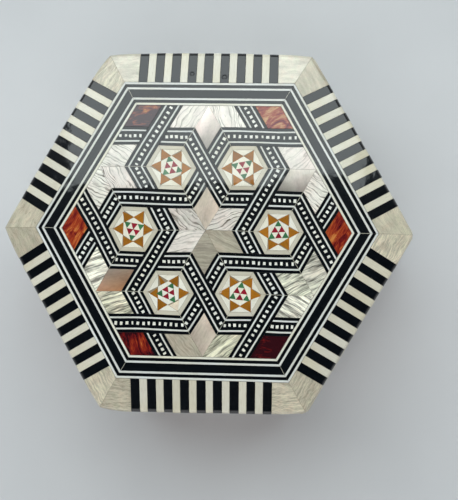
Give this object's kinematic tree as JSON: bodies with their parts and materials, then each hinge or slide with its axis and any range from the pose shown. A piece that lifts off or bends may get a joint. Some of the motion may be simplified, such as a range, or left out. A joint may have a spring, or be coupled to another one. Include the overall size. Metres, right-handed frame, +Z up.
{
  "type": "inlaid wooden box",
  "caption": "Hexagonal wooden box with a hinged lid, its lid and sides covered in black, bone and mother-of-pearl inlay with an interlaced star pattern.",
  "frame": {"origin": "middle of the underside, on the surface that the box stands on", "axes": "+Z up, +X to a corner of the hexagon on the viewer's right, +Y to the back, where the hinges are"},
  "size_m": [0.13, 0.1126, 0.0564],
  "materials": {
    "carcass_wood": "satin",
    "base_felt": "felt",
    "velvet": "velvet",
    "hinge_brass": "polished",
    "black_inlay": "lacquered",
    "bone": "lacquered",
    "star_border": "lacquered",
    "cream": "lacquered",
    "gold_wood": "lacquered",
    "green": "lacquered",
    "red": "lacquered",
    "red_corner": "lacquered",
    "pearl": "nacre under lacquer",
    "pink_pearl": "nacre under lacquer"
  },
  "bodies": {
    "box_body": {"base_board": "carcass_wood", "wall_front": "carcass_wood", "wall_front_right": "carcass_wood", "wall_back_right": "carcass_wood", "wall_back": "carcass_wood", "wall_back_left": "carcass_wood", "wall_front_left": "carcass_wood", "base_felt": "base_felt", "floor_lining": "velvet", "wall_linings": "velvet", "hinge_left_body_leaf": "hinge_brass", "hinge_left_pin": "hinge_brass", "hinge_right_body_leaf": "hinge_brass", "hinge_right_pin": "hinge_brass", "wall_black_bands": "black_inlay", "wall_corner_strips": "bone", "wall_bone_rims": "bone", "wall_bone_lines": "bone", "wall_pearl_triangles": "pearl", "wall_pearl_lozenges": "pink_pearl"},
    "lid": {"lid_board": "carcass_wood", "lid_wall_front": "carcass_wood", "lid_wall_front_right": "carcass_wood", "lid_wall_back_right": "carcass_wood", "lid_wall_back": "carcass_wood", "lid_wall_back_left": "carcass_wood", "lid_wall_front_left": "carcass_wood", "lid_lining": "velvet", "lid_wall_linings": "velvet", "lid_corner_strips": "bone", "lid_side_bone_lines": "bone", "lid_side_black_bands": "black_inlay", "lid_side_pearl": "pearl", "border_black_bars": "black_inlay", "border_bone_bars": "bone", "border_pearl_corners": "pearl", "frame_bone_lines": "bone", "frame_black_lines": "black_inlay", "frame_black_band": "black_inlay", "strap_cores": "black_inlay", "strap_bone_lines": "bone", "strap_black_edges": "black_inlay", "edge_lozenges": "pink_pearl", "pearl_tiles": "pearl", "centre_rhombs": "pink_pearl", "corner_rhombs": "red_corner", "star_borders": "star_border", "star_cream": "cream", "star_gold_points": "gold_wood", "star_green": "green", "star_red": "red", "hinge_left_lid_leaf": "hinge_brass", "hinge_right_lid_leaf": "hinge_brass"}
  },
  "joints": [
    {"name": "lid_hinge", "type": "hinge", "parent": "box_body", "child": "lid", "pos_m": [0, 0.05439, 0.03915], "axis": [-1, 0, 0], "range_deg": [0, 100]}
  ]
}
